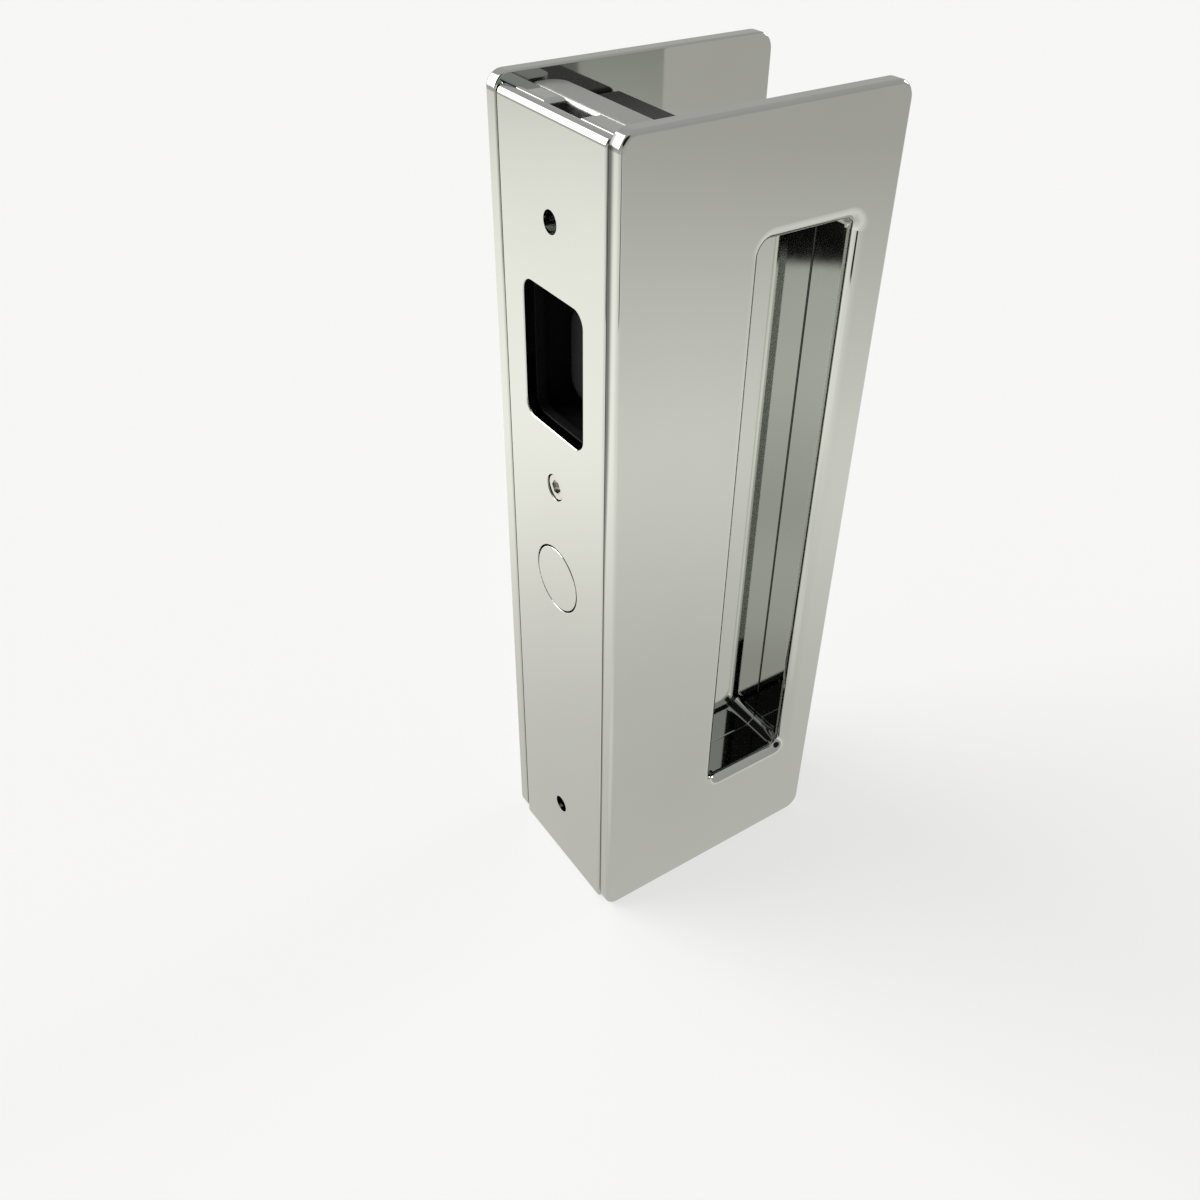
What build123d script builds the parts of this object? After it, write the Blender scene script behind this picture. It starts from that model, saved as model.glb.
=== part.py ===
from build123d import *
import os

os.makedirs("parts", exist_ok=True)

# Wrap-around pocket door handle. Millimetres, +Z up along the door's edge.
# The origin is the middle of the handle's foot. The leading edge of the door faces -X,
# and the door's two faces look towards -Y and +Y.

# Overall body
height = 190.0
wrap_length = 63.2
door_gap = 35.6
plate_thickness = 3.5
free_corner_radius = 3.75
leading_corner_radius = 3.2
outer_edge_radius = 0.9
inner_edge_radius = 0.4

# Finger cup in each side plate
cup_clearance = 0.8
cup_free_margin = 9.2
cup_bottom_margin = 27.5
cup_top_margin = 23.9
cup_depth = 12.0
cup_undercut = 1.0
cup_wall = 1.6
cup_corner_radius = 2.4
cup_rim_radius = 2.8
cup_floor_radius = 0.25
cup_root_radius = 1.0
cup_back_radius = 1.2

# Plate on the leading edge
edge_plate_thickness = 2.5
edge_plate_clearance = 0.4
edge_plate_top_inset = 1.7
edge_plate_top_radius = 1.5
edge_plate_bottom_radius = 0.9
edge_plate_back_radius = 0.8
edge_plate_side_radius = 0.6
opening_edge_radius = 0.35

# Return flanges of the side plates
flange_thickness = 4.6
flange_split = 10.9
flange_inset = 1.9
flange_edge_radius = 0.9

# Steel plate behind the flanges, with a tab folded back at each end
spine_thickness = 2.0
spine_margin = 1.0
spine_inset = 2.2
spine_tab_length = 3.8
spine_bend_radius = 1.0
spine_fold_radius = 0.6
spine_corner_radius = 3.0

# Moulded case behind the steel plate
case_inset = 6.0
case_side_clearance = 0.3
case_depth = 17.0
case_wall = 1.6
case_boss_radius = 3.0
case_corner_radius = 1.5
case_edge_radius = 1.0
case_hole_clearance = 0.3

# Holes for the screws that fix the handle to the door
fixing_bottom_margin = 19.0
fixing_top_margin = 20.5
fixing_hole_radius = 2.2
fixing_relief = 0.3

# M3 pan-head screws that join flanges, barrel, case and spine
m3_radius = 1.5
m3_head_radius = 2.75
m3_head_height = 1.9
m3_socket_radius = 1.15
m3_socket_depth = 1.1
thread_clearance = 0.04
shank_clearance = 0.15
screw_end_margin = 11.0

# Cap screw in the edge plate, with its nut in the spine
cap_head_length = 3.0
cap_socket_radius = 1.6
cap_socket_depth = 1.6
cap_recess = 0.3
cap_head_clearance = 0.2
cap_screw_length = 9.0
plate_boss_clearance = 0.85
nut_radius = 3.4
nut_length = 3.0
nut_edge_radius = 0.4
nut_gap = 2.2

# Pop-out pull
pull_head_radius = 7.5
pull_hole_clearance = 0.35
pull_head_thickness = 2.4
pull_waist_radius = 4.5
pull_waist_fillet = 0.8
pull_collar_radius = 8.6
pull_collar_thickness = 4.0
pull_travel = 16.0
pull_press = 1.5
pull_edge_radius = 0.15
stop_clearance = 0.2
bumper_section = 1.8
bumper_relief = 0.15
bumper_edge_radius = 0.5

# Guide barrel of the pull
barrel_clearance = 0.1
barrel_wall = 1.7
barrel_flange_width = 22.0
barrel_flange_thickness = 2.5
barrel_flange_radius = 3.0
barrel_head_gap = 0.6
barrel_flange_margin = 1.3
barrel_seat_clearance = 0.15
tail_bore_radius = 5.2
tail_wall = 1.3
tail_length = 17.0

# Stem, spring and catch of the pull
stem_radius = 2.0
stem_thread_depth = 6.0
stem_tip_length = 1.6
ring_thickness = 0.8
ring_width = 1.0
washer_thickness = 0.8
washer_clearance = 0.4
spring_wire_radius = 0.5
spring_clearance = 0.6
spring_turns = 7.0
spring_end_gap = 0.05
catch_length = 12.0
catch_bore_clearance = 0.3
catch_bore_depth = 10.0
catch_spigot_length = 3.0
catch_spigot_clearance = 0.05
catch_edge_radius = 1.0

# Latch opening and its box
latch_drop = 48.1
latch_opening_width = 20.6
latch_opening_height = 28.6
latch_opening_radius = 3.0
box_mouth_inset = 0.2
box_lip = 2.0
box_stop_width = 1.2
box_wall = 1.7
box_depth = 22.5
box_cavity_radius = 2.0
box_seat_clearance = 0.2
box_boss_radius = 3.2
cover_thickness = 2.5
cover_edge_radius = 0.5
m25_radius = 1.25
m25_head_radius = 2.2
m25_head_height = 1.5
m25_socket_radius = 0.9
m25_socket_depth = 0.8

# Latch tongue and its magnets
tongue_clearance = 0.2
tongue_carrier_thickness = 5.0
tongue_nose_width = 10.0
tongue_nose_height = 20.0
tongue_nose_recess = 6.5
tongue_nose_radius = 1.8
tongue_travel = 13.0
magnet_radius = 4.0
magnet_length = 8.0
magnet_clearance = 0.05
magnet_gap = 0.5
magnet_pocket_depth = 1.3
nose_end_wall = 2.0

# Places across the handle
width = door_gap + 2 * plate_thickness
edge_face = -wrap_length / 2
flange_front = edge_face + edge_plate_thickness
spine_front = flange_front + flange_thickness
spine_back = spine_front + spine_thickness
spine_width = door_gap - 2 * spine_margin
spine_height = height - 2 * spine_inset
case_back = spine_back + case_depth

# Places of the pull along X
pull_hole_radius = pull_head_radius + pull_hole_clearance
barrel_bore_radius = pull_collar_radius + barrel_clearance
barrel_radius = barrel_bore_radius + barrel_wall
collar_front = flange_front + stop_clearance + bumper_section + pull_travel
collar_back = collar_front + pull_collar_thickness
barrel_shoulder = collar_back + pull_press + stop_clearance
barrel_step = barrel_shoulder + barrel_wall
tail_radius = tail_bore_radius + tail_wall
tail_end = barrel_step + tail_length
catch_front = tail_end - catch_spigot_length
catch_back = tail_end + catch_length
washer_back = collar_back + washer_thickness
ring_radius = stem_radius + ring_width
catch_bore_radius = ring_radius + catch_bore_clearance
stem_front = collar_back - stem_thread_depth
stem_back = catch_front + catch_bore_depth - pull_press - stop_clearance
ring_back = stem_back - stem_tip_length
ring_front = ring_back - ring_thickness
spring_radius = tail_bore_radius - spring_clearance - spring_wire_radius

# Places of the latch along X
box_cavity_width = latch_opening_width - 2 * box_mouth_inset + 2 * box_stop_width
box_cavity_height = latch_opening_height - 2 * box_mouth_inset + 2 * box_stop_width
box_width = box_cavity_width + 2 * box_wall
box_height = box_cavity_height + 2 * box_wall
box_radius = box_cavity_radius + box_wall
box_back = flange_front + box_depth
cavity_front = flange_front + box_lip
cover_back = box_back + cover_thickness
carrier_front = cavity_front + stop_clearance + tongue_travel
carrier_back = carrier_front + tongue_carrier_thickness
nose_tip = edge_face + tongue_nose_recess
magnet_front = nose_tip + nose_end_wall
magnet_back = magnet_front + magnet_length
holding_magnet_front = carrier_back + magnet_gap
holding_magnet_back = box_back + magnet_pocket_depth

# Heights, hung from the top end of the handle
latch_z = height - latch_drop
latch_screw_offset = box_height / 2 + box_boss_radius - box_wall
plate_screw_z = latch_z - latch_screw_offset - box_boss_radius - nut_gap - nut_radius
barrel_screw_offset = barrel_radius + m3_head_radius + barrel_head_gap
barrel_flange_reach = barrel_screw_offset + m3_head_radius + barrel_flange_margin
pull_z = plate_screw_z - nut_radius - nut_gap - barrel_flange_reach
fixing_heights = (fixing_bottom_margin, height - fixing_top_margin)
low_screw_z = (screw_end_margin + pull_z - barrel_flange_reach) / 2
spine_screw_heights = (low_screw_z, plate_screw_z)
case_screw_heights = (screw_end_margin, height - screw_end_margin)
spine_screw_y = (flange_split + door_gap) / 4

# Place of the finger cups, which start behind the barrel and the latch box
cup_front = max(barrel_step, cover_back) + cup_clearance + cup_wall + cup_undercut
cup_end = -edge_face - cup_free_margin
cup_width = cup_end - cup_front
cup_height = height - cup_bottom_margin - cup_top_margin
cup_middle = ((cup_front + cup_end) / 2, cup_bottom_margin + cup_height / 2)
cup_reach = cup_undercut + cup_wall

# Planes that the pieces are drawn on. Those square to X draw with Y and Z.
front_face = Plane.XZ.offset(width / 2)
plate_middle = Plane.XZ.offset(door_gap / 2 + plate_thickness / 2)
plate_back = Plane.XZ.offset(door_gap / 2)
edge_outward = Plane(origin=(edge_face, 0, 0), x_dir=(0, -1, 0), z_dir=(-1, 0, 0))
pull_section = Plane(origin=(0, 0, pull_z), x_dir=(1, 0, 0), z_dir=(0, -1, 0))
pull_axis = Axis((0, 0, pull_z), (1, 0, 0))
spine_screw_places = [(y, z) for y in (-spine_screw_y, spine_screw_y) for z in spine_screw_heights]
case_screw_places = [(y, z) for y in (-spine_screw_y, spine_screw_y) for z in case_screw_heights]
barrel_screw_places = [(0, pull_z - barrel_screw_offset), (0, pull_z + barrel_screw_offset)]
latch_screw_places = [(0, latch_z - latch_screw_offset), (0, latch_z + latch_screw_offset)]
fixing_places = [(0, z) for z in fixing_heights]


def across(x):
    """Plane square to X at x, drawn on with Y and Z, looking from the leading edge inwards."""
    return Plane.YZ.offset(x)


def pan_screws(places, head_seat, shank_length, sizes):
    """Screws with their heads seated at x = head_seat and shanks running towards the edge plate."""
    shank_radius, head_radius, head_height, socket_radius, socket_depth = sizes
    with BuildPart() as screws:
        with BuildSketch(across(head_seat)):
            with Locations(*places):
                Circle(head_radius)
        extrude(amount=head_height)
        fillet(faces().group_by(Axis.X)[-1].edges(), head_height / 3)
        with BuildSketch(across(head_seat)):
            with Locations(*places):
                Circle(shank_radius)
        extrude(amount=-shank_length)
        with BuildSketch(across(head_seat + head_height)):
            with Locations(*places):
                RegularPolygon(socket_radius, 6)
        extrude(amount=-socket_depth, mode=Mode.SUBTRACT)
    return screws


m3_sizes = (m3_radius, m3_head_radius, m3_head_height, m3_socket_radius, m3_socket_depth)
m25_sizes = (m25_radius, m25_head_radius, m25_head_height, m25_socket_radius, m25_socket_depth)


# Front side plate: face, finger cup and return flange in one casting
with BuildPart() as front_side_plate:
    with BuildSketch(front_face):
        with Locations((0, height / 2)):
            Rectangle(wrap_length, height)
        fillet(vertices().group_by(Axis.X)[0], leading_corner_radius)
        fillet(vertices().group_by(Axis.X)[-1], free_corner_radius)
    extrude(amount=-plate_thickness)
    fillet(faces().sort_by(Axis.Y)[0].edges(), outer_edge_radius)
    inner_face = faces().sort_by(Axis.Y)[-1]
    fillet(inner_face.edges(), inner_edge_radius)

    # Cup: an outer shell behind the plate, then the hollow, which widens behind the plate
    with BuildSketch(plate_middle):
        with Locations(cup_middle):
            RectangleRounded(cup_width + 2 * cup_reach, cup_height + 2 * cup_reach, cup_corner_radius + cup_reach)
    extrude(amount=-(cup_depth + cup_wall - plate_thickness / 2))
    fillet(faces().sort_by(Axis.Y)[-1].edges(), cup_back_radius)
    cup_root = faces().filter_by(Axis.Y).sort_by(Axis.Y)[-2].inner_wires()[0]
    fillet(cup_root.edges(), cup_root_radius)
    with BuildSketch(front_face):
        with Locations(cup_middle):
            RectangleRounded(cup_width, cup_height, cup_corner_radius)
    extrude(amount=-plate_thickness, mode=Mode.SUBTRACT)
    with BuildSketch(plate_back):
        with Locations(cup_middle):
            RectangleRounded(
                cup_width + 2 * cup_undercut,
                cup_height + 2 * cup_undercut,
                cup_corner_radius + cup_undercut,
            )
    extrude(amount=-(cup_depth - plate_thickness), mode=Mode.SUBTRACT)
    cup_floor = faces(Select.LAST).filter_by(Axis.Y).sort_by(Axis.Y)[-1]
    fillet(cup_floor.edges(), cup_floor_radius)
    cup_rim = faces().sort_by(Axis.Y)[0].inner_wires()[0]
    fillet(cup_rim.edges(), cup_rim_radius)

    # Return flange behind the edge plate
    flange_reach = (door_gap - flange_split + plate_thickness) / 2
    with BuildSketch(Plane.XY.offset(flange_inset)):
        with Locations((flange_front + flange_thickness / 2, -(flange_split + flange_reach) / 2)):
            Rectangle(flange_thickness, flange_reach)
    extrude(amount=height - 2 * flange_inset)
    for end_z in (flange_inset, height - flange_inset):
        flange_end = faces().filter_by(Axis.Z).filter_by_position(Axis.Z, end_z - 0.01, end_z + 0.01)
        fillet(
            flange_end.edges().filter_by_position(Axis.Y, -door_gap / 2 + 0.1, 0),
            flange_edge_radius,
        )

    # Room in the flange for the barrel and the latch box, and threads for the spine's screws
    with BuildSketch(across(flange_front)):
        with Locations((0, pull_z)):
            Circle(barrel_radius + barrel_seat_clearance)
        with Locations((0, latch_z)):
            RectangleRounded(box_width + 2 * box_seat_clearance, box_height + 2 * box_seat_clearance, box_radius)
        with Locations(*spine_screw_places, *case_screw_places):
            Circle(m3_radius + thread_clearance)
    extrude(amount=flange_thickness, mode=Mode.SUBTRACT)
front_side_plate.part.label = "front_side_plate"

# Rear side plate: the same casting in the other hand
with BuildPart() as rear_side_plate:
    mirror(front_side_plate.part, about=Plane.XZ)
rear_side_plate.part.label = "rear_side_plate"

# Edge plate between the lips of the side plates, with a boss that takes the cap screw
with BuildPart() as edge_plate:
    edge_plate_height = height - edge_plate_top_inset
    with BuildSketch(across(edge_face)):
        with Locations((0, edge_plate_height / 2)):
            Rectangle(door_gap - 2 * edge_plate_clearance, edge_plate_height)
    extrude(amount=edge_plate_thickness)
    fillet(faces().sort_by(Axis.X)[0].edges().filter_by(Axis.Y).sort_by(Axis.Z)[-1], edge_plate_top_radius)
    fillet(faces().sort_by(Axis.X)[0].edges().filter_by(Axis.Y).sort_by(Axis.Z)[0], edge_plate_bottom_radius)
    fillet(faces().sort_by(Axis.X)[0].edges().filter_by(Axis.Z), edge_plate_side_radius)
    fillet(faces().sort_by(Axis.X)[-1].edges().filter_by(Axis.Y).sort_by(Axis.Z)[-1], edge_plate_back_radius)
    with BuildSketch(across(flange_front)):
        with Locations((0, plate_screw_z)):
            Circle(flange_split / 2 - plate_boss_clearance)
    extrude(amount=flange_thickness)
    with BuildSketch(across(edge_face)):
        with Locations((0, latch_z)):
            RectangleRounded(latch_opening_width, latch_opening_height, latch_opening_radius)
    extrude(amount=edge_plate_thickness, mode=Mode.SUBTRACT)
    with Locations(edge_outward):
        with Locations((0, pull_z)):
            Hole(pull_hole_radius)
        with Locations(*fixing_places):
            Hole(fixing_hole_radius)
        with Locations((0, plate_screw_z)):
            CounterBoreHole(
                m3_radius + shank_clearance,
                m3_head_radius + cap_head_clearance,
                cap_recess + cap_head_length,
            )
    opening_edges = ShapeList()
    for opening in faces().sort_by(Axis.X)[0].inner_wires():
        opening_edges += opening.edges()
    small_openings = opening_edges.filter_by_position(Axis.Z, pull_z - 0.5, pull_z + 0.5)
    fillet(small_openings, pull_edge_radius)
    latch_edges = faces().sort_by(Axis.X)[0].edges().filter_by_position(
        Axis.Z, latch_z - latch_opening_height / 2 - 0.1, latch_z + latch_opening_height / 2 + 0.1
    ).filter_by_position(Axis.Y, -latch_opening_width / 2 - 0.1, latch_opening_width / 2 + 0.1)
    fillet(latch_edges, opening_edge_radius)
edge_plate.part.label = "edge_plate"

# Spine: the steel plate that ties both castings together and carries the mechanism
with BuildPart() as spine_plate:
    with BuildSketch(across(spine_front)):
        with Locations((0, height / 2)):
            Rectangle(spine_width, spine_height)
    extrude(amount=spine_thickness + spine_tab_length)
    fillet(edges().filter_by(Axis.Z).group_by(Axis.X)[-1], spine_corner_radius)
    with BuildSketch(across(spine_back)):
        with Locations((0, height / 2)):
            Rectangle(spine_width, spine_height - 2 * spine_thickness)
    extrude(amount=spine_tab_length, mode=Mode.SUBTRACT)
    fillet(edges().filter_by(Axis.Y).group_by(Axis.X)[0], spine_bend_radius)
    fold_edges = edges().filter_by(Axis.Y).filter_by_position(Axis.X, spine_back - 0.01, spine_back + 0.01)
    fillet(fold_edges, spine_fold_radius)
    with BuildSketch(across(spine_front)):
        with Locations((0, pull_z)):
            Circle(barrel_radius + barrel_seat_clearance)
        with Locations((0, latch_z)):
            RectangleRounded(box_width + 2 * box_seat_clearance, box_height + 2 * box_seat_clearance, box_radius)
        with Locations(*fixing_places):
            Circle(fixing_hole_radius + fixing_relief)
        with Locations(*spine_screw_places, *case_screw_places, (0, plate_screw_z)):
            Circle(m3_radius + shank_clearance)
        with Locations(*barrel_screw_places):
            Circle(m3_radius + thread_clearance)
        with Locations(*latch_screw_places):
            Circle(m25_radius + thread_clearance)
    extrude(amount=spine_thickness, mode=Mode.SUBTRACT)
spine_plate.part.label = "spine_plate"

# Screws from the spine into the flanges
spine_screws = pan_screws(spine_screw_places, spine_back, spine_thickness + flange_thickness, m3_sizes)
spine_screws.part.label = "spine_screws"

# Moulded case over the mechanism, open towards the spine, with a boss for each of its screws
with BuildPart() as mechanism_case:
    case_width = door_gap - 2 * case_side_clearance
    case_height = height - 2 * case_inset
    with BuildSketch(across(spine_back)):
        with Locations((0, height / 2)):
            RectangleRounded(case_width, case_height, case_corner_radius)
    extrude(amount=case_depth)
    fillet(faces().sort_by(Axis.X)[-1].edges(), case_edge_radius)
    with BuildSketch(across(spine_back)):
        with Locations((0, height / 2)):
            Rectangle(case_width - 2 * case_wall, case_height - 2 * case_wall)
    extrude(amount=case_depth - case_wall, mode=Mode.SUBTRACT)
    with BuildSketch(across(spine_back)):
        with Locations(*case_screw_places):
            Circle(case_boss_radius)
    extrude(amount=case_depth - case_wall)
    with BuildSketch(across(spine_back)):
        with Locations((0, pull_z)):
            Circle(barrel_radius + case_hole_clearance)
        with Locations((0, latch_z)):
            RectangleRounded(box_width + 2 * case_hole_clearance, box_height + 2 * case_hole_clearance, box_radius)
        with Locations(*latch_screw_places):
            Circle(box_boss_radius + case_hole_clearance)
        with Locations(*fixing_places):
            Circle(fixing_hole_radius + fixing_relief)
        with Locations(*case_screw_places):
            Circle(m3_radius + shank_clearance)
    extrude(amount=case_depth, mode=Mode.SUBTRACT)
mechanism_case.part.label = "mechanism_case"

# Long screws through the case and the spine into the ends of the flanges
case_screws = pan_screws(case_screw_places, case_back, case_back - flange_front, m3_sizes)
case_screws.part.label = "case_screws"

# Hex-socket cap screw in the edge plate
with BuildPart() as plate_screw:
    cap_head_front = edge_face + cap_recess
    with BuildSketch(across(cap_head_front)):
        with Locations((0, plate_screw_z)):
            Circle(m3_head_radius)
    extrude(amount=cap_head_length)
    fillet(faces().sort_by(Axis.X)[0].edges(), pull_edge_radius)
    with BuildSketch(across(cap_head_front + cap_head_length)):
        with Locations((0, plate_screw_z)):
            Circle(m3_radius)
    extrude(amount=cap_screw_length)
    with BuildSketch(across(cap_head_front)):
        with Locations((0, plate_screw_z)):
            RegularPolygon(cap_socket_radius, 6)
    extrude(amount=cap_socket_depth, mode=Mode.SUBTRACT)
plate_screw.part.label = "plate_screw"

# Clinch nut on the back of the spine
with BuildPart() as plate_nut:
    with BuildSketch(across(spine_back)):
        with Locations((0, plate_screw_z)):
            Circle(nut_radius)
            Circle(m3_radius + thread_clearance, mode=Mode.SUBTRACT)
    extrude(amount=nut_length)
    fillet(faces().sort_by(Axis.X)[-1].outer_wire().edges(), nut_edge_radius)
plate_nut.part.label = "plate_nut"

# Pull: flush head, waist for the fingers and a collar that runs in the barrel
with BuildPart() as edge_pull:
    head_back = edge_face + pull_head_thickness
    with BuildSketch(pull_section):
        with BuildLine():
            Polyline(
                (edge_face, 0),
                (edge_face, pull_head_radius),
                (head_back, pull_head_radius),
                (head_back, pull_waist_radius),
                (collar_front, pull_waist_radius),
                (collar_front, pull_collar_radius),
                (collar_back, pull_collar_radius),
                (collar_back, stem_radius + thread_clearance),
                (stem_front, stem_radius + thread_clearance),
                (stem_front, 0),
                close=True,
            )
        make_face()
    revolve(axis=pull_axis)
    head_rims = edges().filter_by(GeomType.CIRCLE).filter_by(lambda rim: abs(rim.radius - pull_head_radius) < 0.01)
    fillet(head_rims, pull_edge_radius)
    waist_root = edges().filter_by(GeomType.CIRCLE).filter_by(
        lambda rim: abs(rim.radius - pull_waist_radius) < 0.01
    ).sort_by(Axis.X)[0]
    fillet(waist_root, pull_waist_fillet)
edge_pull.part.label = "edge_pull"

# Rubber ring on the waist that softens the outward stop
with BuildPart() as pull_bumper:
    ring_outer = pull_collar_radius - bumper_relief
    with BuildSketch(pull_section):
        with BuildLine():
            Polyline(
                (collar_front - bumper_section, pull_waist_radius + thread_clearance),
                (collar_front - bumper_section, ring_outer),
                (collar_front, ring_outer),
                (collar_front, pull_waist_radius + thread_clearance),
                close=True,
            )
        make_face()
    revolve(axis=pull_axis)
    outer_rims = edges().filter_by(GeomType.CIRCLE).filter_by(lambda rim: abs(rim.radius - ring_outer) < 0.01)
    fillet(outer_rims, bumper_edge_radius)
pull_bumper.part.label = "pull_bumper"

# Stem screwed into the collar
with BuildPart() as pull_stem:
    with BuildSketch(across(stem_front)):
        with Locations((0, pull_z)):
            Circle(stem_radius)
    extrude(amount=stem_back - stem_front)
    chamfer(faces().sort_by(Axis.X)[-1].edges(), stem_radius / 4)
pull_stem.part.label = "pull_stem"

# Ring near the stem's tip that the catch grips
with BuildPart() as stem_ring:
    with BuildSketch(across(ring_front)):
        with Locations((0, pull_z)):
            Circle(ring_radius)
            Circle(stem_radius + thread_clearance, mode=Mode.SUBTRACT)
    extrude(amount=ring_thickness)
stem_ring.part.label = "stem_ring"

# Washer between the collar and the spring
with BuildPart() as spring_washer:
    with BuildSketch(across(collar_back)):
        with Locations((0, pull_z)):
            Circle(tail_bore_radius - washer_clearance)
            Circle(stem_radius + thread_clearance, mode=Mode.SUBTRACT)
    extrude(amount=washer_thickness)
spring_washer.part.label = "spring_washer"

# Compression spring that pushes the pull out
with BuildPart() as pull_spring:
    spring_front = washer_back + spring_end_gap + spring_wire_radius
    spring_back = catch_front - spring_end_gap - spring_wire_radius
    spring_length = spring_back - spring_front
    with BuildLine():
        spring_path = Helix(
            pitch=spring_length / spring_turns,
            height=spring_length,
            radius=spring_radius,
            center=(spring_front, 0, pull_z),
            direction=(1, 0, 0),
        )
    with BuildSketch(Plane(origin=spring_path @ 0, z_dir=spring_path % 0)):
        Circle(spring_wire_radius)
    sweep(is_frenet=True)
pull_spring.part.label = "pull_spring"

# Guide barrel with its flange on the spine and its tail between the cups
with BuildPart() as pull_barrel:
    with BuildSketch(pull_section):
        with BuildLine():
            Polyline(
                (flange_front, barrel_bore_radius),
                (flange_front, barrel_radius),
                (barrel_step, barrel_radius),
                (barrel_step, tail_radius),
                (tail_end, tail_radius),
                (tail_end, tail_bore_radius),
                (barrel_shoulder, tail_bore_radius),
                (barrel_shoulder, barrel_bore_radius),
                close=True,
            )
        make_face()
    revolve(axis=pull_axis)
    with BuildSketch(across(spine_back)):
        with Locations((0, pull_z)):
            RectangleRounded(barrel_flange_width, 2 * barrel_flange_reach, barrel_flange_radius)
            Circle((barrel_bore_radius + barrel_radius) / 2, mode=Mode.SUBTRACT)
        with Locations(*barrel_screw_places):
            Circle(m3_radius + shank_clearance, mode=Mode.SUBTRACT)
    extrude(amount=barrel_flange_thickness)
    barrel_end_rim = edges().filter_by(GeomType.CIRCLE).filter_by_position(
        Axis.X, barrel_step - 0.01, barrel_step + 0.01
    ).sort_by(SortBy.RADIUS)[-1]
    fillet(barrel_end_rim, barrel_wall / 2)
pull_barrel.part.label = "pull_barrel"

# Screws of the barrel's flange
barrel_flange_back = spine_back + barrel_flange_thickness
barrel_screws = pan_screws(
    barrel_screw_places, barrel_flange_back, barrel_flange_back - spine_front, m3_sizes
)
barrel_screws.part.label = "barrel_screws"

# Sealed push-push catch plugged into the end of the tail
with BuildPart() as catch_unit:
    spigot_radius = tail_bore_radius - catch_spigot_clearance
    with BuildSketch(pull_section):
        with BuildLine():
            Polyline(
                (catch_front, catch_bore_radius),
                (catch_front, spigot_radius),
                (tail_end, spigot_radius),
                (tail_end, tail_radius),
                (catch_back, tail_radius),
                (catch_back, 0),
                (catch_front + catch_bore_depth, 0),
                (catch_front + catch_bore_depth, catch_bore_radius),
                close=True,
            )
        make_face()
    revolve(axis=pull_axis)
    fillet(faces().sort_by(Axis.X)[-1].edges(), catch_edge_radius)
catch_unit.part.label = "catch_unit"

# Latch box: moulded pocket with an inner lip that stops the tongue
with BuildPart() as latch_box:
    with BuildSketch(across(flange_front)):
        with Locations((0, latch_z)):
            RectangleRounded(box_width, box_height, box_radius)
    extrude(amount=box_depth)
    with BuildSketch(across(spine_back)):
        with Locations(*latch_screw_places):
            Circle(box_boss_radius)
    extrude(amount=box_back - spine_back)
    with BuildSketch(across(cavity_front)):
        with Locations((0, latch_z)):
            RectangleRounded(box_cavity_width, box_cavity_height, box_cavity_radius)
    extrude(amount=box_back - cavity_front, mode=Mode.SUBTRACT)
    with BuildSketch(across(flange_front)):
        with Locations((0, latch_z)):
            RectangleRounded(
                latch_opening_width - 2 * box_mouth_inset,
                latch_opening_height - 2 * box_mouth_inset,
                latch_opening_radius - box_mouth_inset,
            )
    extrude(amount=box_lip, mode=Mode.SUBTRACT)
    with BuildSketch(across(spine_back)):
        with Locations(*latch_screw_places):
            Circle(m25_radius + shank_clearance)
    extrude(amount=box_back - spine_back, mode=Mode.SUBTRACT)
latch_box.part.label = "latch_box"

# Cover of the latch box, with a pocket for the holding magnet
with BuildPart() as latch_cover:
    with BuildSketch(across(box_back)):
        with Locations((0, latch_z)):
            RectangleRounded(box_width, box_height, box_radius)
        with Locations(*latch_screw_places):
            Circle(box_boss_radius)
            Circle(m25_radius + shank_clearance, mode=Mode.SUBTRACT)
    extrude(amount=cover_thickness)
    fillet(faces().sort_by(Axis.X)[-1].outer_wire().edges(), cover_edge_radius)
    with BuildSketch(across(box_back)):
        with Locations((0, latch_z)):
            Circle(magnet_radius + magnet_clearance)
    extrude(amount=magnet_pocket_depth, mode=Mode.SUBTRACT)
latch_cover.part.label = "latch_cover"

# Long screws through cover and box into the spine
latch_screws = pan_screws(latch_screw_places, cover_back, cover_back - spine_front, m25_sizes)
latch_screws.part.label = "latch_screws"

# Magnet in the cover that draws the tongue back
with BuildPart() as holding_magnet:
    with BuildSketch(across(holding_magnet_front)):
        with Locations((0, latch_z)):
            Circle(magnet_radius)
    extrude(amount=holding_magnet_back - holding_magnet_front)
holding_magnet.part.label = "holding_magnet"

# Tongue: a carrier that runs in the box and an oval nose with a magnet behind its end
with BuildPart() as latch_tongue:
    with BuildSketch(across(carrier_front)):
        with Locations((0, latch_z)):
            RectangleRounded(
                box_cavity_width - 2 * tongue_clearance,
                box_cavity_height - 2 * tongue_clearance,
                box_cavity_radius - tongue_clearance,
            )
    extrude(amount=tongue_carrier_thickness)
    with BuildSketch(across(nose_tip)):
        with Locations((0, latch_z)):
            SlotOverall(tongue_nose_height, tongue_nose_width, rotation=90)
    extrude(amount=carrier_front - nose_tip)
    fillet(faces().sort_by(Axis.X)[0].edges(), tongue_nose_radius)
    with BuildSketch(across(magnet_front)):
        with Locations((0, latch_z)):
            Circle(magnet_radius + magnet_clearance)
    extrude(amount=carrier_back - magnet_front, mode=Mode.SUBTRACT)
latch_tongue.part.label = "latch_tongue"

# Magnet in the nose, and the steel rod that carries its pull to the back of the carrier
with BuildPart() as latch_magnet:
    with BuildSketch(across(magnet_front)):
        with Locations((0, latch_z)):
            Circle(magnet_radius)
    extrude(amount=magnet_length)
latch_magnet.part.label = "latch_magnet"

with BuildPart() as pole_piece:
    with BuildSketch(across(magnet_back)):
        with Locations((0, latch_z)):
            Circle(magnet_radius)
    extrude(amount=carrier_back - magnet_back)
pole_piece.part.label = "pole_piece"

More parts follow.
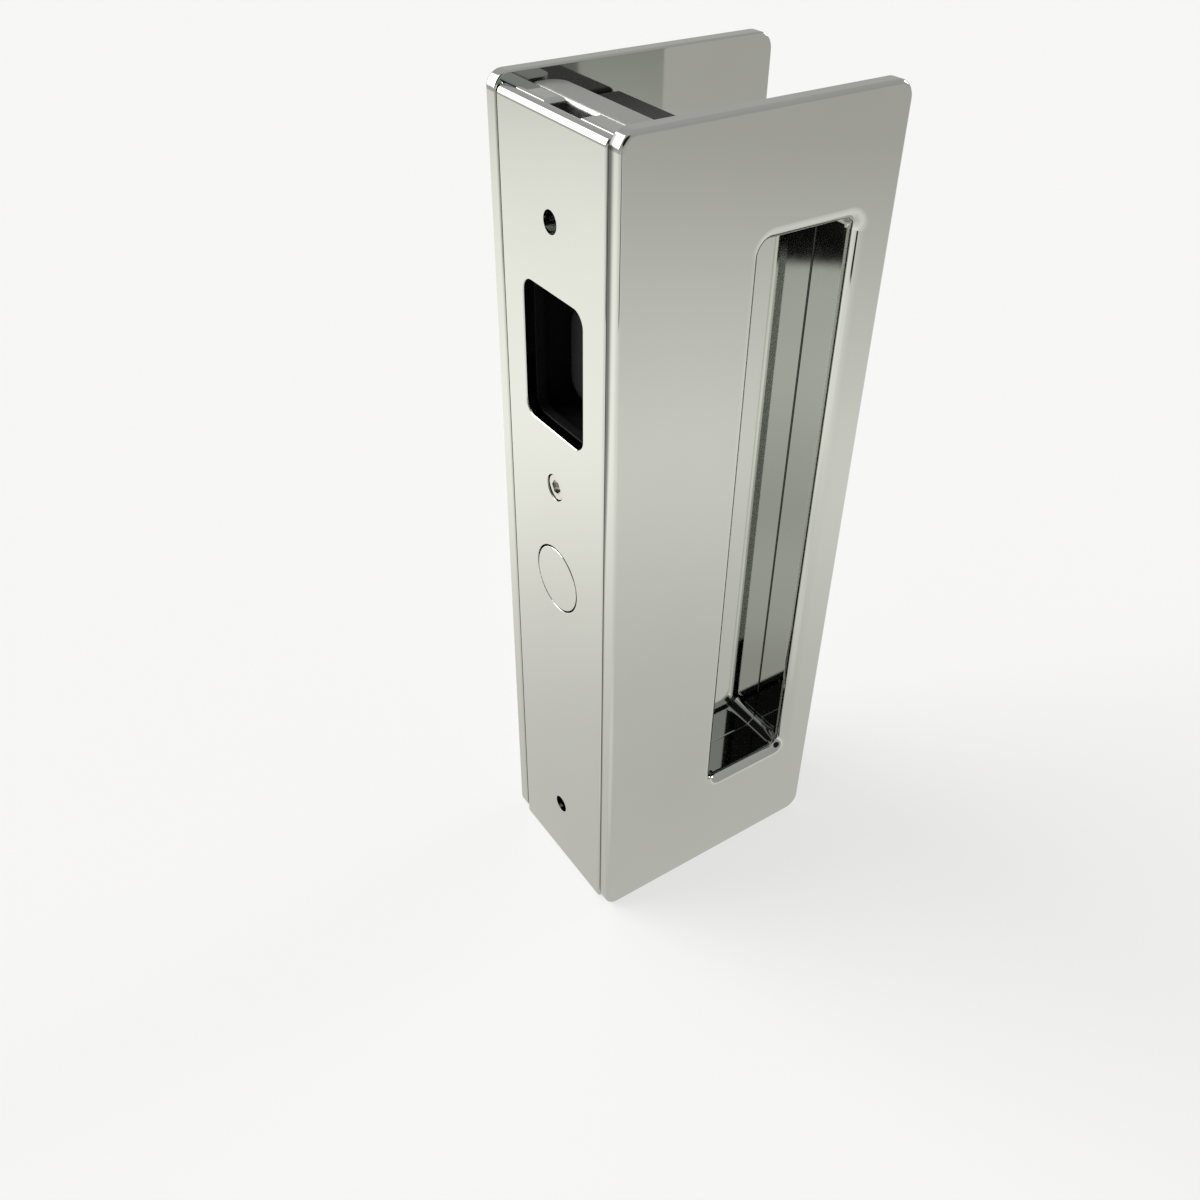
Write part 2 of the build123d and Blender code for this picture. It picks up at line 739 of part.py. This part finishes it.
pieces = (
    front_side_plate,
    rear_side_plate,
    edge_plate,
    spine_plate,
    spine_screws,
    mechanism_case,
    case_screws,
    plate_screw,
    plate_nut,
    edge_pull,
    pull_bumper,
    pull_stem,
    stem_ring,
    spring_washer,
    pull_spring,
    pull_barrel,
    barrel_screws,
    catch_unit,
    latch_box,
    latch_cover,
    latch_screws,
    holding_magnet,
    latch_tongue,
    latch_magnet,
    pole_piece,
)
for piece in pieces:
    export_step(piece.part, f"parts/{piece.part.label}.step")
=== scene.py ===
import math

import bpy
from mathutils import Matrix, Vector


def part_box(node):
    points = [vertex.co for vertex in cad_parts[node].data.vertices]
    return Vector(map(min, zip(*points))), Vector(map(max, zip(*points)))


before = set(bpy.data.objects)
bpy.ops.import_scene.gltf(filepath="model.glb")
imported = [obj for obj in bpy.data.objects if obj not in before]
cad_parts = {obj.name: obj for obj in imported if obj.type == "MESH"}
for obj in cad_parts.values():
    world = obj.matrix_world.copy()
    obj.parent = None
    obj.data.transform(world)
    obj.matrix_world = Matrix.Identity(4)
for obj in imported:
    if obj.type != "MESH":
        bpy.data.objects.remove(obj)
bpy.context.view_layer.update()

# Camera, solved from the photo's edges. Metres and degrees, in the CAD frame.
CAMERA_SPOT = (-0.13538, -0.17135, 0.24524)
CAMERA_AZIMUTH = -35.4736
CAMERA_ELEVATION = 38.7307
CAMERA_ROLL = 1.5359
CAMERA_LENS = 35.0266
CAMERA_SHIFT = (-0.02110, 0.00255)
CAMERA_SENSOR = 36.0


def add_camera():
    """Camera at the photo's viewing angle."""
    data = bpy.data.cameras.new("view_camera")
    data.lens = CAMERA_LENS
    data.sensor_width = CAMERA_SENSOR
    data.shift_x, data.shift_y = CAMERA_SHIFT
    data.clip_start = 0.005
    data.clip_end = 50.0
    camera = bpy.data.objects.new("view_camera", data)
    bpy.context.scene.collection.objects.link(camera)
    turn = Matrix.Rotation(math.radians(CAMERA_AZIMUTH), 4, "Z")
    tilt = Matrix.Rotation(math.radians(90 - CAMERA_ELEVATION), 4, "X")
    roll = Matrix.Rotation(math.radians(CAMERA_ROLL), 4, "Z")
    camera.matrix_world = Matrix.Translation(CAMERA_SPOT) @ turn @ tilt @ roll
    bpy.context.scene.camera = camera


# Width of a border that looks sharp
HARD = 0.00001

# Places among a Mix node's inputs and outputs
MIX_NUMBERS = (2, 3)
MIX_COLOURS = (6, 7)
MIX_NUMBER_RESULT = 0
MIX_COLOUR_RESULT = 2


class Shading:
    """A material's node tree with short calls for the nodes that the finishes share."""

    def __init__(self, tree):
        self.tree = tree
        self.tree.nodes.clear()

    def add(self, kind, **values):
        node = self.tree.nodes.new(kind)
        for name, value in values.items():
            setattr(node, name, value)
        return node

    def join(self, source, target):
        self.tree.links.new(source, target)

    def value(self, source, target):
        """Sets a socket to a number or links it to another socket."""
        if isinstance(source, bpy.types.NodeSocket):
            self.join(source, target)
        else:
            target.default_value = source

    def math(self, operation, first, second=0.0, third=0.0):
        node = self.add("ShaderNodeMath", operation=operation)
        for socket, given in zip(node.inputs, (first, second, third)):
            self.value(given, socket)
        return node.outputs[0]

    def dot(self, vector, direction):
        node = self.add("ShaderNodeVectorMath", operation="DOT_PRODUCT")
        self.join(vector, node.inputs[0])
        node.inputs[1].default_value = direction
        return node.outputs["Value"]

    def distance(self, vector, point):
        node = self.add("ShaderNodeVectorMath", operation="DISTANCE")
        self.join(vector, node.inputs[0])
        node.inputs[1].default_value = point
        return node.outputs["Value"]

    def ramp(self, value, start, end, low, high):
        """low below start and high above end, with a soft change between them."""
        node = self.add("ShaderNodeMapRange", interpolation_type="SMOOTHSTEP")
        for socket, given in zip(node.inputs, (value, start, end, low, high)):
            self.value(given, socket)
        return node.outputs["Result"]

    def noise(self, size, detail=2.0, roughness=0.5):
        """Noise from 0 to 1 whose features are about size metres wide, fixed to the object."""
        place = self.add("ShaderNodeTexCoord").outputs["Object"]
        scale = self.add("ShaderNodeVectorMath", operation="MULTIPLY")
        self.join(place, scale.inputs[0])
        scale.inputs[1].default_value = (1 / size, 1 / size, 1 / size)
        node = self.add("ShaderNodeTexNoise")
        self.join(scale.outputs[0], node.inputs["Vector"])
        node.inputs["Scale"].default_value = 1.0
        node.inputs["Detail"].default_value = detail
        node.inputs["Roughness"].default_value = roughness
        return node.outputs[0]

    def in_box(self, low, high, fade):
        """1 inside a box fixed to the object and 0 outside it, with ends that fade along Z."""
        place = self.add("ShaderNodeTexCoord").outputs["Object"]
        split = self.add("ShaderNodeSeparateXYZ")
        self.join(place, split.inputs[0])
        inside = 1.0
        for part, start, end, border in zip(split.outputs, low, high, (HARD, HARD, fade)):
            off_middle = self.math("ABSOLUTE", self.math("SUBTRACT", part, (start + end) / 2))
            half = (end - start) / 2
            inside = self.math("MULTIPLY", inside, self.ramp(off_middle, half - border, half, 1.0, 0.0))
        return inside

    def tones(self, factor, dark, light):
        """Colour between two tones."""
        node = self.add("ShaderNodeMix", data_type="RGBA")
        self.join(factor, node.inputs[0])
        for tone, place in zip((dark, light), MIX_COLOURS):
            if isinstance(tone, bpy.types.NodeSocket):
                self.join(tone, node.inputs[place])
            else:
                node.inputs[place].default_value = (*tone, 1.0)
        return node.outputs[MIX_COLOUR_RESULT]

    def levels(self, factor, low, high):
        """Number between low and high."""
        node = self.add("ShaderNodeMix", data_type="FLOAT")
        self.join(factor, node.inputs[0])
        for level, place in zip((low, high), MIX_NUMBERS):
            self.value(level, node.inputs[place])
        return node.outputs[MIX_NUMBER_RESULT]

    def blend(self, factor, first, second):
        """Shader between two shaders."""
        node = self.add("ShaderNodeMixShader")
        self.value(factor, node.inputs[0])
        self.join(first, node.inputs[1])
        self.join(second, node.inputs[2])
        return node.outputs[0]

    def glow(self, colour, strength):
        """Light of a colour, whose strength is a number or a socket."""
        node = self.add("ShaderNodeEmission")
        node.inputs["Color"].default_value = (*colour, 1.0)
        self.value(strength, node.inputs["Strength"])
        return node.outputs[0]

    def bump(self, height, depth, onto=None):
        """Bump of a height map whose full range is depth metres."""
        node = self.add("ShaderNodeBump")
        node.inputs["Strength"].default_value = 1.0
        node.inputs["Distance"].default_value = depth
        self.join(height, node.inputs["Height"])
        if onto is not None:
            self.join(onto, node.inputs["Normal"])
        return node.outputs[0]


# Sides of the latch opening in the edge plate, behind its rounded rim, painted dark as shade
EDGE_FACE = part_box("edge_plate")[0][0]
LATCH_DEPTH = 0.003
LATCH_HEIGHT = 0.1419
LATCH_HALF_WIDTH = 0.0104
LATCH_HALF_HEIGHT = 0.0144
LATCH_RIM = 0.0003
LATCH_SIDE_SHADE = (
    (EDGE_FACE + LATCH_RIM, -LATCH_HALF_WIDTH, LATCH_HEIGHT - LATCH_HALF_HEIGHT),
    (EDGE_FACE + LATCH_DEPTH, LATCH_HALF_WIDTH, LATCH_HEIGHT + LATCH_HALF_HEIGHT),
    HARD,
)

# Leading lip of the front plate, painted darker as shade towards the groove beside the edge plate
LIP_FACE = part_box("front_side_plate")[0][0]
LIP_INNER = 0.0178
LIP_DEPTH = 0.0010
LIP_CORE = 0.3
LIP_HEIGHTS = (0.095, 0.145)
LIP_REACH = (0.0009, 0.0021)
LIP_SHADOW = (0.85, 0.93)


def both_hands(along, across, up, fade):
    """Boxes at the same place on the front and the rear side plate."""
    front = ((along[0], -across[1], up[0]), (along[1], -across[0], up[1]), fade)
    rear = ((along[0], across[0], up[0]), (along[1], across[1], up[1]), fade)
    return front, rear


# Sharp inner corners of the finger cups, between the floor and the wall at the free end, painted dark as
# shade along the crease
CUP_CORNER_SHADE = both_hands(along=(0.0231, 0.0235), across=(0.0092, 0.00965), up=(0.0265, 0.1687), fade=HARD)
# Painted shade: a near black tone laid on the chrome where it should look shaded
PAINTED_SHADE_TONE = (0.06, 0.06, 0.06)

# Inner edges of the finger cups' rims at the free end, painted near white as a highlight
PAINTED_HIGHLIGHT_EDGES = both_hands(along=(0.0222, 0.0226), across=(0.01845, 0.0195), up=(0.0275, 0.1665), fade=0.002)
PAINTED_HIGHLIGHT_TONE = (0.97, 0.98, 0.94)

# Widths of the clouds of tone and the smears of polish, and the part of a noise's range that polish follows
METAL_CLOUD = 0.03
PLASTIC_CLOUD = 0.004
SMEAR = 0.006
POLISH_RANGE = (0.3, 0.7)


def new_material(name):
    material = bpy.data.materials.new(name)
    material.use_nodes = True
    shade = Shading(material.node_tree)
    output = shade.add("ShaderNodeOutputMaterial")
    shader = shade.add("ShaderNodeBsdfPrincipled")
    shade.join(shader.outputs[0], output.inputs[0])
    return material, shade, shader


def lip_shadow(shade):
    """Painted shade on the front plate's leading lip towards the groove, wider and darker towards the top.
    """
    place = shade.add("ShaderNodeTexCoord").outputs["Object"]
    split = shade.add("ShaderNodeSeparateXYZ")
    shade.join(place, split.inputs[0])
    along, across, height = split.outputs
    from_groove = shade.math("MULTIPLY_ADD", across, -1.0, -LIP_INNER)
    reach = shade.ramp(height, *LIP_HEIGHTS, *LIP_REACH)
    strength = shade.ramp(height, *LIP_HEIGHTS, *LIP_SHADOW)
    shadow = shade.ramp(from_groove, shade.math("MULTIPLY", reach, LIP_CORE), reach, strength, 0.0)
    on_lip = shade.math("LESS_THAN", along, LIP_FACE + LIP_DEPTH)
    on_front = shade.math("GREATER_THAN", from_groove, -LIP_DEPTH)
    return shade.math("MULTIPLY", shadow, shade.math("MULTIPLY", on_lip, on_front))


def metal(name, dark, light, polish, wave, grain=None, shaded_boxes=(), plate=False):
    """Metal with a slight change of tone, fine changes of polish and the faint waviness of its surface.

    Wave and grain are a size and a depth in metres. Inside each box given for shade the tone is painted near
    black as shade. With plate, the front side plate also gets painted shade on its lip at the front groove,
    and the side plates get a painted highlight on the inner edges of their finger cups' rims.
    """
    material, shade, shader = new_material(name)
    shader.inputs["Metallic"].default_value = 1.0
    cloud = shade.noise(METAL_CLOUD, detail=3.0)
    tone = shade.tones(cloud, dark, light)
    # Painted shade: near black tone inside each given box
    for shaded_box in shaded_boxes:
        tone = shade.tones(shade.in_box(*shaded_box), tone, PAINTED_SHADE_TONE)
    if plate:
        # Painted shade on the front plate's leading lip
        tone = shade.tones(lip_shadow(shade), tone, PAINTED_SHADE_TONE)
        # Painted highlight: the inner edges of the cups' rims get a near white tone
        for highlight_box in PAINTED_HIGHLIGHT_EDGES:
            tone = shade.tones(shade.in_box(*highlight_box), tone, PAINTED_HIGHLIGHT_TONE)
    shade.join(tone, shader.inputs["Base Color"])
    smear = shade.noise(SMEAR, detail=4.0, roughness=0.6)
    shade.join(shade.ramp(smear, *POLISH_RANGE, *polish), shader.inputs["Roughness"])
    wave_size, wave_depth = wave
    normal = shade.bump(shade.noise(wave_size, detail=1.0), wave_depth)
    if grain is not None:
        grain_size, grain_depth = grain
        normal = shade.bump(shade.noise(grain_size, detail=2.0), grain_depth, onto=normal)
    shade.join(normal, shader.inputs["Normal"])
    return material


def plastic(name, dark, light, polish, grain, specular=0.5):
    """Moulded plastic or rubber with a fine grain, given as a size and a depth in metres."""
    material, shade, shader = new_material(name)
    cloud = shade.noise(PLASTIC_CLOUD, detail=3.0)
    shade.join(shade.tones(cloud, dark, light), shader.inputs["Base Color"])
    grain_size, grain_depth = grain
    speckle = shade.noise(grain_size, detail=2.0)
    shade.join(shade.ramp(speckle, *POLISH_RANGE, *polish), shader.inputs["Roughness"])
    shader.inputs["Specular IOR Level"].default_value = specular
    shade.join(shade.bump(speckle, grain_depth), shader.inputs["Normal"])
    return material


# Each finish has its darkest and lightest tone, its least and greatest roughness as polish, and the size and
# depth in metres of its waves and its grain.
CHROME = {"dark": (0.525, 0.540, 0.521), "light": (0.552, 0.568, 0.548)}
METALS = {
    "chrome": {
        **CHROME, "polish": (0.035, 0.055), "wave": (0.012, 2e-6),
        "shaded_boxes": CUP_CORNER_SHADE, "plate": True,
    },
    "chrome_edge": {
        **CHROME, "polish": (0.03, 0.05), "wave": (0.014, 2e-6),
        "shaded_boxes": (LATCH_SIDE_SHADE,),
    },
    "chrome_pull": {
        **CHROME, "polish": (0.03, 0.05), "wave": (0.008, 1e-6),
    },
    "chrome_screw": {
        "dark": (0.50, 0.50, 0.47), "light": (0.56, 0.56, 0.53),
        "polish": (0.08, 0.14), "wave": (0.004, 1e-6),
    },
    "zinc_plated_steel": {
        "dark": (0.40, 0.41, 0.41), "light": (0.54, 0.55, 0.54),
        "polish": (0.34, 0.50), "wave": (0.008, 2e-6), "grain": (0.0006, 4e-6),
    },
    "screw_steel": {
        "dark": (0.42, 0.42, 0.42), "light": (0.55, 0.55, 0.54),
        "polish": (0.16, 0.28), "wave": (0.003, 3e-6),
    },
    "bright_steel": {
        "dark": (0.52, 0.52, 0.52), "light": (0.60, 0.60, 0.59),
        "polish": (0.10, 0.18), "wave": (0.004, 2e-6),
    },
    "spring_steel": {
        "dark": (0.36, 0.36, 0.36), "light": (0.50, 0.50, 0.49),
        "polish": (0.20, 0.32), "wave": (0.003, 3e-6),
    },
    "satin_aluminium": {
        "dark": (0.60, 0.61, 0.62), "light": (0.72, 0.73, 0.74),
        "polish": (0.26, 0.38), "wave": (0.006, 4e-6), "grain": (0.0005, 5e-6),
    },
    "nickel": {
        "dark": (0.58, 0.55, 0.49), "light": (0.66, 0.62, 0.55),
        "polish": (0.10, 0.18), "wave": (0.004, 2e-6),
    },
}
PLASTICS = {
    "black_plastic": {
        "dark": (0.008, 0.008, 0.009), "light": (0.014, 0.014, 0.015),
        "polish": (0.30, 0.45), "grain": (0.0005, 1.2e-5), "specular": 0.2,
    },
    "black_tongue": {
        "dark": (0.005, 0.005, 0.006), "light": (0.009, 0.009, 0.010),
        "polish": (0.26, 0.38), "grain": (0.0005, 8e-6), "specular": 0.05,
    },
    "grey_plastic": {
        "dark": (0.10, 0.10, 0.11), "light": (0.14, 0.14, 0.15),
        "polish": (0.35, 0.50), "grain": (0.0005, 1.2e-5),
    },
    "nylon": {
        "dark": (0.66, 0.65, 0.60), "light": (0.74, 0.73, 0.68),
        "polish": (0.35, 0.48), "grain": (0.0006, 8e-6),
    },
    "black_rubber": {
        "dark": (0.012, 0.012, 0.012), "light": (0.022, 0.022, 0.022),
        "polish": (0.60, 0.75), "grain": (0.0004, 1.5e-5), "specular": 0.3,
    },
}


def finishes():
    """One material for each material slot of the record."""
    metals = {name: metal(name, **look) for name, look in METALS.items()}
    plastics = {name: plastic(name, **look) for name, look in PLASTICS.items()}
    return {**metals, **plastics}


def dress_nodes(materials):
    """Gives every CAD node the procedural finish of its material slot."""
    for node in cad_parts.values():
        slot_names = [material.name.split(".")[0] for material in node.data.materials]
        for place, slot_name in enumerate(slot_names):
            node.data.materials[place] = materials[slot_name]


# Floor of the studio, in metres from the handle's middle. Levels are factors of the floor's light.
FLOOR_HALF = 4.0
FLOOR_TINT = (1.02, 1.0, 0.93)
POOL_MIDDLE = (-0.15, 0.20, 0.0)
POOL_REACH = (0.0, 0.95)
POOL_LEVELS = (1.42, 0.60)
# Painted shadow of the handle on the floor's light: distances from its middle and levels
CONTACT_SHADE_REACH = (0.03, 0.25)
CONTACT_SHADE_LEVELS = (0.60, 1.0)

# Stretches of the floor on the camera's side, which the finger cup mirrors: start, end and change of level
TOWARDS_CAMERA = (-0.63, -0.78, 0.0)
ACROSS_CAMERA = (0.78, -0.63, 0.0)
FRONT_LEVELS = ((0.045, 0.07, 0.15), (0.09, 0.14, -0.16), (0.17, 0.26, 0.10))
FRONT_HALF_WIDTH = (0.03, 0.06)

# Dark end of that floor
FAR_START = (0.362, 0.378)
FAR_HALF_WIDTH = (0.035, 0.06)
FAR_DARKNESS = 0.99

# Paper that diffuse rays meet, and its share in the white that the camera sees
PAPER = (0.8, 0.8, 0.8)
PAPER_SHARE = 0.35
WHITE = (1.0, 1.0, 1.0)


def floor_light(shade):
    """Light of the floor in the handle's mirror faces, with a pool behind the handle on its left and a
    painted shadow around the handle.
    """
    place = shade.add("ShaderNodeTexCoord").outputs["Object"]
    pool = shade.ramp(shade.distance(place, POOL_MIDDLE), *POOL_REACH, *POOL_LEVELS)
    painted_shading = shade.ramp(shade.distance(place, (0, 0, 0)), *CONTACT_SHADE_REACH, *CONTACT_SHADE_LEVELS)
    towards_camera = shade.dot(place, TOWARDS_CAMERA)
    off_line = shade.math("ABSOLUTE", shade.dot(place, ACROSS_CAMERA))
    near = shade.ramp(off_line, *FRONT_HALF_WIDTH, 1.0, 0.0)
    for start, end, change in FRONT_LEVELS:
        part = shade.math("MULTIPLY", shade.ramp(towards_camera, start, end, 0.0, change), near)
        painted_shading = shade.math("MULTIPLY", painted_shading, shade.math("ADD", part, 1.0))
    far = shade.ramp(towards_camera, *FAR_START, 0.0, 1.0)
    shadow = shade.math("MULTIPLY", far, shade.ramp(off_line, *FAR_HALF_WIDTH, FAR_DARKNESS, 0.0))
    beyond = shade.math("SUBTRACT", 1.0, shadow)
    return shade.math("MULTIPLY", shade.math("MULTIPLY", pool, painted_shading), beyond)


def floor_paper():
    """Material that is white to the camera, glows for mirror rays and is plain paper to all others."""
    material = bpy.data.materials.new("floor_paper")
    material.use_nodes = True
    material.cycles.emission_sampling = "NONE"
    shade = Shading(material.node_tree)
    output = shade.add("ShaderNodeOutputMaterial")
    paper = shade.add("ShaderNodeBsdfDiffuse")
    paper.inputs["Color"].default_value = (*PAPER, 1.0)
    rays = shade.add("ShaderNodeLightPath").outputs
    mirrored = shade.math("MAXIMUM", rays["Is Glossy Ray"], rays["Is Transmission Ray"])
    shown = shade.math("MAXIMUM", rays["Is Camera Ray"], mirrored)
    seen = shade.blend(PAPER_SHARE, shade.glow(WHITE, 1.0), paper.outputs[0])
    by_camera = shade.blend(rays["Is Camera Ray"], shade.glow(FLOOR_TINT, floor_light(shade)), seen)
    shade.join(shade.blend(shown, paper.outputs[0], by_camera), output.inputs[0])
    return material


def add_floor():
    """Plain pale floor."""
    mesh = bpy.data.meshes.new("floor")
    corners = [(x * FLOOR_HALF, y * FLOOR_HALF, 0) for x, y in ((-1, -1), (1, -1), (1, 1), (-1, 1))]
    mesh.from_pydata(corners, [], [(0, 1, 2, 3)])
    mesh.materials.append(floor_paper())
    floor = bpy.data.objects.new("floor", mesh)
    bpy.context.scene.collection.objects.link(floor)


# Room of the studio: directions from the handle outwards, the cosines between which their edges are soft,
# and levels of light
ROOM_TINT = (1.01, 1.0, 0.955)
ROOM_DEPTH = (0.2, 0.9, 0.35)
WALL_EDGE = (-0.6, 0.5)
WALL_LEVELS = (0.50, 0.53)
DARK_SIDE = (-0.44, -0.65, 0.62)
DARK_EDGE = (0.84, 0.93)
DARK_LEVEL = 0.03
WINDOW = (-0.62, 0.65, 0.44)
WINDOW_EDGE = (0.84, 0.93)
WINDOW_LEVEL = 5.0
LAMP = (0.95, -0.05, 0.30)
LAMP_EDGE = (0.985, 0.993)
LAMP_LEVEL = 9.0


def room_light(shade):
    """Light of the room, with one broad window behind the handle on its left."""
    direction = shade.add("ShaderNodeTexCoord").outputs["Generated"]

    def spot(middle, edge, around, inside):
        return shade.ramp(shade.dot(direction, Vector(middle).normalized()), *edge, around, inside)

    walls = shade.ramp(shade.dot(direction, ROOM_DEPTH), *WALL_EDGE, *WALL_LEVELS)
    dark = spot(DARK_SIDE, DARK_EDGE, 1.0, DARK_LEVEL)
    window = spot(WINDOW, WINDOW_EDGE, 0.0, WINDOW_LEVEL)
    lamp = spot(LAMP, LAMP_EDGE, 0.0, LAMP_LEVEL)
    return shade.math("ADD", shade.math("MULTIPLY", walls, dark), shade.math("ADD", window, lamp))


def add_world():
    """Dim studio room, white to the camera."""
    world = bpy.data.worlds.new("studio")
    bpy.context.scene.world = world
    world.use_nodes = True
    shade = Shading(world.node_tree)
    output = shade.add("ShaderNodeOutputWorld")
    rays = shade.add("ShaderNodeLightPath").outputs
    background = shade.add("ShaderNodeBackground")
    shade.join(shade.tones(rays["Is Camera Ray"], ROOM_TINT, WHITE), background.inputs["Color"])
    strength = shade.levels(rays["Is Camera Ray"], room_light(shade), 1.0)
    shade.join(strength, background.inputs["Strength"])
    shade.join(background.outputs[0], output.inputs[0])


add_camera()
dress_nodes(finishes())
add_floor()
add_world()
bpy.context.scene.view_settings.view_transform = "Standard"
